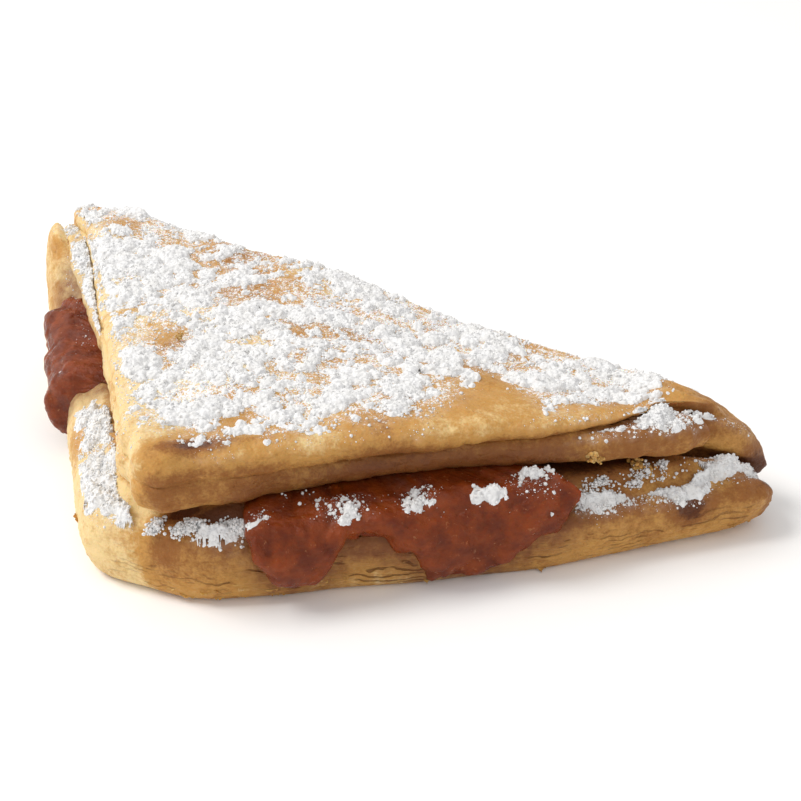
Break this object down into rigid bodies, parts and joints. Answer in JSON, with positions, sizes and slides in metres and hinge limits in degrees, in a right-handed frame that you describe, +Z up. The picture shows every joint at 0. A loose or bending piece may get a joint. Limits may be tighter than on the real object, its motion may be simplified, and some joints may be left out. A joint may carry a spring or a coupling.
{
  "type": "turnover pastry",
  "caption": "Triangular turnover of folded puff pastry, open along its cut sides, where a glossy fruit filling shows between the layers.",
  "frame": {"origin": "on the table, under the point that lies equally far from the two cut sides and the fold", "axes": "+Z up from the table, +X along the front cut side towards the right tip, +Y along the left cut side towards the back tip"},
  "size_m": [0.118, 0.1187, 0.0276],
  "materials": {
    "crust": "baked golden brown, matt",
    "filling": "moist fruit jam, glossy"
  },
  "bodies": {
    "root": {"pastry": "crust", "filling": "filling"}
  },
  "joints": []
}
